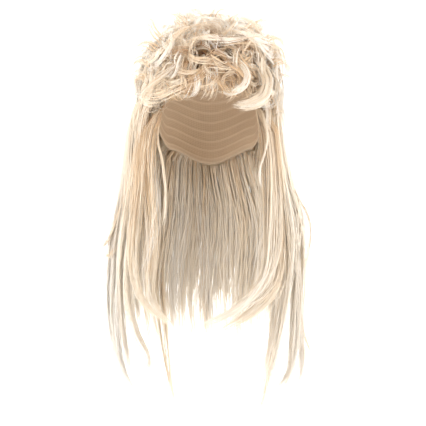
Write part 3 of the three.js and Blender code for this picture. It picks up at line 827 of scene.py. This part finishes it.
def fill_clump(lock, clump, slot, side, rails, draw):
    """One clump of a lock that hangs along the rails. The last one lies on top."""
    steps = np.linspace(0, 1, FALL_SEGMENTS + 1)[None, :]
    share = steps + END_FINENESS * (smooth(steps, 0, 1) - steps)
    count = lock["strands"] // FILL_CLUMPS
    middle = draw.uniform(-CLUMP_MIDDLE, CLUMP_MIDDLE, 2)
    middle[0] = FILL_JITTER * middle[0] + (2 * slot + 1) / FILL_CLUMPS - 1
    end = lock["tip"] + clump_cut(lock, clump, draw)
    if clump == FILL_CLUMPS - 1:
        middle[1] = 1
    spread = np.clip(middle + draw.normal(0, FILL_SPREAD, (count, 2)), -SPREAD_LIMIT, SPREAD_LIMIT)
    tip = end + draw.uniform(-FILL_FRAY, FILL_FRAY, count)
    tip += FILL_STRAGGLE * draw.random(count) ** STRAGGLE_POWER
    hang = rails_start(lock, rails, spread)
    drop = hang[:, None] + (drop_of(tip) - hang)[:, None] * share
    gather = GATHER_LEAST + GATHER_NARROW * lock["narrow"]
    place = gathered(middle, spread, gather * smooth(share, *FILL_GATHER))
    fan = 1 - lock["narrow"] * smooth(share, *FILL_NARROWING)
    along = 1 - np.abs(1 - lock["along"] - LOCK_SHARE * LOCK_SPREAD * place[..., 0] * fan)
    points = hanging(rails, along, drop)
    across = unit(hanging(rails, along + ALONG_STEP, drop) - hanging(rails, along - ALONG_STEP, drop))
    facing = unit(np.stack([across[..., 1], -across[..., 0], np.zeros_like(drop)], -1)) * side
    thick = LOCK_DEPTH / 2 * profile(share, FILL_THICKNESS)
    hug = 1 + INNER_HUG * (place[..., 1] < 0) * (1 - smooth(share, *HUG_END))
    points += facing * (place[..., 1] * thick * hug)[..., None]
    add_ripples(points, across, facing, share, FILL_RIPPLES, draw)
    sweep = share**SWEEP_POWER * draw.uniform(*SWEEP_RANGE)
    points[..., 0] -= side * lock["inward"] * sweep
    points[..., 1] -= lock["forward"] * sweep
    return finished_clump(points, facing, lock["tone"], FILL_WANDER, draw)


def fill_strands(locks, side, draw):
    """Strands that fill the long hair: each lock is a few clumps of their own length."""
    rails = rails_of(side)
    sets = []
    for row in locks:
        lock = dict(FILL_LOCK, **row)
        slots = draw.permutation(FILL_CLUMPS)
        sets += [fill_clump(lock, clump, slot, side, rails, draw) for clump, slot in enumerate(slots)]
    return joined(sets)


def long_clump(lock, clump, draw):
    """One clump of a long lock that is drawn point by point: the first is full length."""
    share = np.linspace(0, 1, FALL_SEGMENTS + 1)[None, :]
    count = lock["strands"] // lock["clumps"]
    middle = draw.uniform(-CLUMP_MIDDLE, CLUMP_MIDDLE, 2)
    spread = np.clip(middle + draw.normal(0, LONG_SPREAD, (count, 2)), -SPREAD_LIMIT, SPREAD_LIMIT)
    stop = 1 - lock["layer"] * draw.random() * (clump > 0)
    fray = LONG_FRAY * draw.random(count)
    reach = stop * (1 - fray - LONG_STRAGGLE * draw.random(count) ** STRAGGLE_POWER)
    points = along_line(lock["points"], reach[:, None] * share)
    facing = unit((points - FALL_MIDDLE) * LEVEL)
    across = unit(np.cross(np.gradient(points, axis=1), facing))
    place = gathered(middle, spread, LONG_GATHER * smooth(share, *LONG_GATHERING))
    fan = profile(share, LONG_FAN)
    points += across * (lock["width"] * place[..., 0] * fan)[..., None]
    points += facing * (lock["depth"] * place[..., 1] * fan)[..., None]
    add_ripples(points, across, facing, share, LONG_RIPPLES, draw)
    return finished_clump(points, facing, lock["tone"], LONG_WANDER, draw)


def long_strands(locks, draw):
    """Strands of the long locks that are drawn point by point, in clumps that draw in to their tips."""
    sets = []
    for row in locks:
        lock = dict(LONG_LOCK, **row)
        sets += [long_clump(lock, clump, draw) for clump in range(lock["clumps"])]
    return joined(sets)


# Meshes of strands

def strand_mesh(name, points, facing, half_width, tone):
    """One mesh of many closed strands: a flattened three-sided tube along each row of points."""
    count, steps = points.shape[:2]
    tangent = unit(np.gradient(points, axis=1))
    side = unit(np.cross(tangent, facing))
    normal = np.cross(side, tangent)
    share = np.linspace(0, 1, steps)
    size = half_width[:, None] * profile(share, STRAND_TAPER)
    angles = 2 * np.pi * (np.arange(STRAND_SIDES) + RING_START) / STRAND_SIDES
    ring = (
        np.cos(angles)[:, None] * side[..., None, :]
        + STRAND_FLATNESS * np.sin(angles)[:, None] * normal[..., None, :]
    )
    corners = (points[..., None, :] + size[..., None, None] * ring) * MM
    index = np.arange(count * steps * STRAND_SIDES).reshape(count, steps, STRAND_SIDES)
    turned = np.roll(index, -1, axis=2)
    walls = np.stack([turned[:, :-1], index[:, :-1], index[:, 1:], turned[:, 1:]], -1).reshape(-1, 4)
    roots = index[:, 0, :]
    tips = index[:, -1, ::-1]
    mesh = bpy.data.meshes.new(name)
    mesh.from_pydata(corners.reshape(-1, 3).tolist(), [], walls.tolist() + roots.tolist() + tips.tolist())
    column = np.minimum((tone * TONE_COLUMNS).astype(int), TONE_COLUMNS - 1)
    put_tones(mesh, column, share, count, steps)
    mesh.shade_smooth()
    mesh.normals_split_custom_set(wall_normals(side, normal, angles).tolist())
    return mesh


def wall_normals(side, normal, angles):
    """Normals turned towards the surface that the strands lie in, so that a lock shines as one.

    The ends of a strand keep their own, which a normal of zero stands for.
    """
    ring = np.cos(angles)[:, None] * side[..., None, :] + np.sin(angles)[:, None] * normal[..., None, :]
    surface = np.sign(np.sin(angles + np.pi / STRAND_SIDES))[:, None] * normal[..., None, :]
    near = unit(SMOOTHING * surface + (1 - SMOOTHING) * ring)
    far = unit(SMOOTHING * surface + (1 - SMOOTHING) * np.roll(ring, -1, axis=2))
    walls = np.stack([far[:, :-1], near[:, :-1], near[:, 1:], far[:, 1:]], -2)
    ends = np.zeros((2 * len(side) * STRAND_SIDES, 3))
    return np.concatenate([walls.reshape(-1, 3), ends])


def put_tones(mesh, column, share, count, steps):
    """Gives each strand its tone, its way along and a map, on which strands of one tone share a column."""
    tone = np.repeat((column + 0.5) / TONE_COLUMNS, steps * STRAND_SIDES)
    along = np.tile(np.repeat(share, STRAND_SIDES), count)
    mesh.attributes.new("tone", "FLOAT", "POINT").data.foreach_set("value", tone.astype(np.float32))
    mesh.attributes.new("along", "FLOAT", "POINT").data.foreach_set("value", along.astype(np.float32))
    left = column / TONE_COLUMNS
    cell = 1 / TONE_COLUMNS
    wall = (1 - 2 * CELL_MARGIN) / STRAND_SIDES
    near = left[:, None] + cell * (CELL_MARGIN + wall * np.arange(STRAND_SIDES))
    far = near + cell * wall
    u = np.stack([far, near, near, far], -1)[:, None]
    v = np.stack([share[:-1], share[:-1], share[1:], share[1:]], -1)[None, :, None]
    ends = left[:, None] + cell * np.array([CELL_MARGIN, 0.5, 1 - CELL_MARGIN])
    lift = np.array([0, END_LIFT, 0])
    pairs = [(u, v), (ends, lift), (ends, 1 - lift)]
    corners = [np.stack(np.broadcast_arrays(*pair), -1).ravel() for pair in pairs]
    chart = mesh.uv_layers.new(name="OFBake")
    chart.uv.foreach_set("vector", np.concatenate(corners).astype(np.float32))


# Materials

class Wire:
    """A shader socket that does sums: each operator adds a Math node."""

    def __init__(self, shader, socket):
        self.shader = shader
        self.socket = socket

    def sum(self, operation, first, second):
        return self.shader.node("ShaderNodeMath", dict(operation=operation), {0: first, 1: second}, "Value")

    def __add__(self, other):
        return self.sum("ADD", self, other)

    __radd__ = __add__

    def __sub__(self, other):
        return self.sum("SUBTRACT", self, other)

    def __rsub__(self, other):
        return self.sum("SUBTRACT", other, self)

    def __mul__(self, other):
        return self.sum("MULTIPLY", self, other)

    __rmul__ = __mul__

    def __pow__(self, other):
        return self.sum("POWER", self, other)

    def sine(self):
        return self.sum("SINE", self, 0)


class Shader:
    """A material's nodes, with a Principled surface."""

    def __init__(self, name):
        self.material = bpy.data.materials.new(name)
        self.material.use_nodes = True
        self.tree = self.material.node_tree
        self.surface = self.tree.nodes["Principled BSDF"]

    def node(self, kind, settings, sockets, output):
        """A node of a kind, with its settings, then its sockets' values or links. Returns one output."""
        made = self.tree.nodes.new(kind)
        for key, value in settings.items():
            if key == "stops":
                set_stops(made.color_ramp, value)
            else:
                setattr(made, key, value)
        for key, value in sockets.items():
            self.plug(made.inputs[key], value)
        return Wire(self, made.outputs[output])

    def plug(self, socket, value):
        if isinstance(value, Wire):
            self.tree.links.new(value.socket, socket)
        else:
            socket.default_value = value

    def finish(self, **sockets):
        for key, value in sockets.items():
            self.plug(self.surface.inputs[key.replace("_", " ")], value)
        return self.material


def set_stops(ramp, stops):
    """Sets a colour ramp's stops: each a place and a colour."""
    while len(ramp.elements) > 1:
        ramp.elements.remove(ramp.elements[-1])
    for i, (place, colour) in enumerate(stops):
        stop = ramp.elements[0] if i == 0 else ramp.elements.new(place)
        stop.position = place
        stop.color = (*colour, 1)


def fibre_material():
    """Silky pale fibre that lets light through: each strand has its own tone, with painted shade towards the
    root.
    """
    shader = Shader("hair_fibre")
    tone = shader.node("ShaderNodeAttribute", dict(attribute_name="tone"), {}, "Fac")
    along = shader.node("ShaderNodeAttribute", dict(attribute_name="along"), {}, "Fac")
    # Painted shade: darker towards the root
    depth = tone - ROOT_PAINTED_SHADE * (1 - along) ** ROOT_FADE + TONE_LIFT
    colour = shader.node("ShaderNodeValToRGB", dict(stops=FIBRE_STOPS), {"Fac": depth}, "Color")
    return shader.finish(Base_Color=colour, Roughness=FIBRE_ROUGHNESS - TONE_GLOSS * tone, **FIBRE_SURFACE)


def knit_material():
    """Stretch knit in fine ribs, with rows of sewn weft round the head, and painted shade between the ribs.
    """
    shader = Shader("cap_knit")
    chart = shader.node("ShaderNodeUVMap", dict(uv_map="UVMap"), {}, "UV")
    across = shader.node("ShaderNodeSeparateXYZ", {}, {0: chart}, "X")
    down = Wire(shader, across.socket.node.outputs["Y"])
    ribs = (across * (2 * math.pi * KNIT_RIBS)).sine()
    courses = (down * (2 * math.pi * KNIT_COURSES)).sine()
    tracks = (0.5 + 0.5 * (down * (2 * math.pi * KNIT_TRACKS)).sine()) ** TRACK_SHARPNESS
    weave = ribs * RIB_HEIGHT + courses * COURSE_HEIGHT
    tone = KNIT_TONE + TRACK_TONE * tracks + WEAVE_PAINTED_SHADE * weave
    colour = shader.node("ShaderNodeValToRGB", dict(stops=KNIT_STOPS), {"Fac": tone}, "Color")
    sockets = dict(KNIT_BUMP, Height=weave + TRACK_HEIGHT * tracks)
    relief = shader.node("ShaderNodeBump", {}, sockets, "Normal")
    return shader.finish(Base_Color=colour, Roughness=KNIT_ROUGHNESS, Normal=relief)


# Pieces

def deselect_all():
    if bpy.context.mode != "OBJECT":
        bpy.ops.object.mode_set(mode="OBJECT")
    bpy.ops.object.select_all(action="DESELECT")


def knit_cap(material):
    """The cap: a grid wrapped over the head, inside and out, with a thicker hem."""
    deselect_all()
    bpy.ops.mesh.primitive_grid_add(x_subdivisions=CAP_COLUMNS, y_subdivisions=2 * CAP_ROWS, size=2)
    cap = bpy.context.object
    cap.name = "wig_cap_knit"
    place = np.zeros(len(cap.data.vertices) * 3, np.float32)
    cap.data.vertices.foreach_get("co", place)
    place = place.reshape(-1, 3)
    azimuth = 180.0 * place[:, 0]
    share = 1 - np.abs(place[:, 1])
    outer = smooth(place[:, 1], -HEM_TURN, HEM_TURN)
    hem = smooth(share, HEM_START, HEM_START + HEM_STEP)
    inside = -HEM_INSIDE * hem
    outside = CAP_WALL + HEM_OUTSIDE * hem
    offset = inside + (outside - inside) * outer
    point, _, _ = over_head(azimuth, share * edge_at(CAP_EDGE, azimuth), offset)
    cap.data.vertices.foreach_set("co", (point * MM).astype(np.float32).ravel())
    bpy.ops.object.mode_set(mode="EDIT")
    bpy.ops.mesh.select_all(action="SELECT")
    bpy.ops.mesh.remove_doubles(threshold=MERGE_DISTANCE)
    bpy.ops.mesh.normals_make_consistent(inside=False)
    bpy.ops.object.mode_set(mode="OBJECT")
    cap.data.shade_smooth()
    cap.data.materials.append(material)
    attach(cap, "root")
    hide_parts("wig_cap")


def hair_piece(name, node, points, facing, half_width, tone, material):
    """A piece of hair that replaces a node of the CAD."""
    mesh = strand_mesh(f"{name}_hair", points, facing, np.broadcast_to(half_width, len(points)), tone)
    piece = bpy.data.objects.new(f"{name}_hair", mesh)
    bpy.context.scene.collection.objects.link(piece)
    mesh.materials.append(material)
    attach(piece, "root")
    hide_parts(node)


def curly_hair(material):
    """The fringe and the crown, the crown in three pieces from the top down."""
    for seed, piece in enumerate(CURL_PIECES):
        draw = np.random.default_rng(CURL_SEED + seed)
        sets = []
        for layer, (roots, strands) in piece["layers"].items():
            azimuth, polar = curl_roots(roots, piece["zone"])
            points, facing, tone = curl_strands(CURL_LAYERS[layer], azimuth, polar, strands, draw)
            # Each piece's added tone is painted light and shade, by azimuth
            tone = np.clip(tone + profile(np.repeat(azimuth, strands), piece["tone"]), 0, 1)
            sets.append((points, facing, np.full(len(points), LAYER_HALF_WIDTHS[layer]), tone))
        hair_piece(piece["name"], piece["node"], *joined(sets), material)


def long_hair(material):
    """The long hair at the sides and the back, a piece for each fall."""
    for seed, fall in enumerate(FALLS):
        draw = np.random.default_rng(FALL_SEED + seed)
        fill = fill_strands(fall["locks"], fall["side"], draw)
        points, facing, tone = joined([fill, long_strands(fall["drawn"], draw)])
        hair_piece(fall["node"], fall["node"], points, facing, fall["half_width"], tone, material)


def drawn_curls(material):
    """The locks of the fringe and the wisps round the crown that show one by one in the photo."""
    for seed, piece in enumerate(DRAWN_PIECES):
        draw = np.random.default_rng(DRAWN_SEED + seed)
        points, facing, tone = joined([drawn_strands(lock, draw) for lock in piece["locks"]])
        hair_piece(piece["name"], piece["node"], points, facing, piece["half_width"], tone, material)


# Studio, lamps and camera

def select_edges(mesh, chosen):
    """Selects the edges whose ends are both chosen."""
    for edge in mesh.edges:
        edge.select = all(chosen(mesh.vertices[end].co) for end in edge.vertices)


def at_backdrop(place):
    return abs(place.y - BACKDROP_Y) < PLACE_TOLERANCE


def at_corner(place):
    return at_backdrop(place) and abs(place.z - FLOOR_Z) < PLACE_TOLERANCE


def studio():
    """A pale floor that curves up into a backdrop."""
    deselect_all()
    bpy.ops.mesh.primitive_plane_add(size=2 * STUDIO_HALF, location=(0, BACKDROP_Y - STUDIO_HALF, FLOOR_Z))
    sweep = bpy.context.object
    sweep.name = "studio_sweep"
    bpy.ops.object.transform_apply(location=True, rotation=False, scale=False)
    bpy.ops.object.mode_set(mode="EDIT")
    bpy.ops.mesh.select_all(action="DESELECT")
    bpy.ops.object.mode_set(mode="OBJECT")
    select_edges(sweep.data, at_backdrop)
    bpy.ops.object.mode_set(mode="EDIT")
    bpy.ops.mesh.select_mode(type="EDGE")
    bpy.ops.mesh.extrude_edges_move(TRANSFORM_OT_translate=dict(value=(0, 0, BACKDROP_HEIGHT)))
    bpy.ops.object.mode_set(mode="OBJECT")
    select_edges(sweep.data, at_corner)
    bpy.ops.object.mode_set(mode="EDIT")
    bpy.ops.mesh.bevel(offset=SWEEP_RADIUS, segments=SWEEP_SEGMENTS)
    bpy.ops.object.mode_set(mode="OBJECT")
    sweep.data.shade_smooth()
    paper = Shader("studio_paper").finish(Base_Color=PAPER_COLOUR, Roughness=PAPER_ROUGHNESS)
    sweep.data.materials.append(paper)


def lighting():
    for lamp in LAMPS:
        aim = np.array(lamp["aim"]) - np.array(lamp["place"])
        pitch = math.atan2(math.hypot(aim[0], aim[1]), -aim[2])
        bpy.ops.object.light_add(
            type="AREA",
            location=lamp["place"],
            rotation=(pitch, 0, math.atan2(aim[1], aim[0]) - math.pi / 2),
        )
        light = bpy.context.object
        light.name = lamp["name"]
        light.data.size = lamp["size"]
        light.data.energy = lamp["power"]
        light.data.color = LAMP_COLOUR
    world = bpy.data.worlds.new("studio_sky")
    world.use_nodes = True
    sky = world.node_tree.nodes["Background"]
    sky.inputs["Color"].default_value = SKY_COLOUR
    sky.inputs["Strength"].default_value = SKY_STRENGTH
    bpy.context.scene.world = world
    bpy.context.scene.view_settings.view_transform = "Standard"


def camera():
    bpy.ops.object.camera_add(location=CAMERA_PLACE, rotation=(math.pi / 2, 0, 0))
    eye = bpy.context.object
    eye.data.sensor_width = SENSOR_WIDTH
    eye.data.lens = SENSOR_WIDTH * CAMERA_DISTANCE / FRAME_WIDTH
    bpy.context.scene.camera = eye


fibre = fibre_material()
knit_cap(knit_material())
curly_hair(fibre)
long_hair(fibre)
drawn_curls(fibre)
studio()
lighting()
camera()
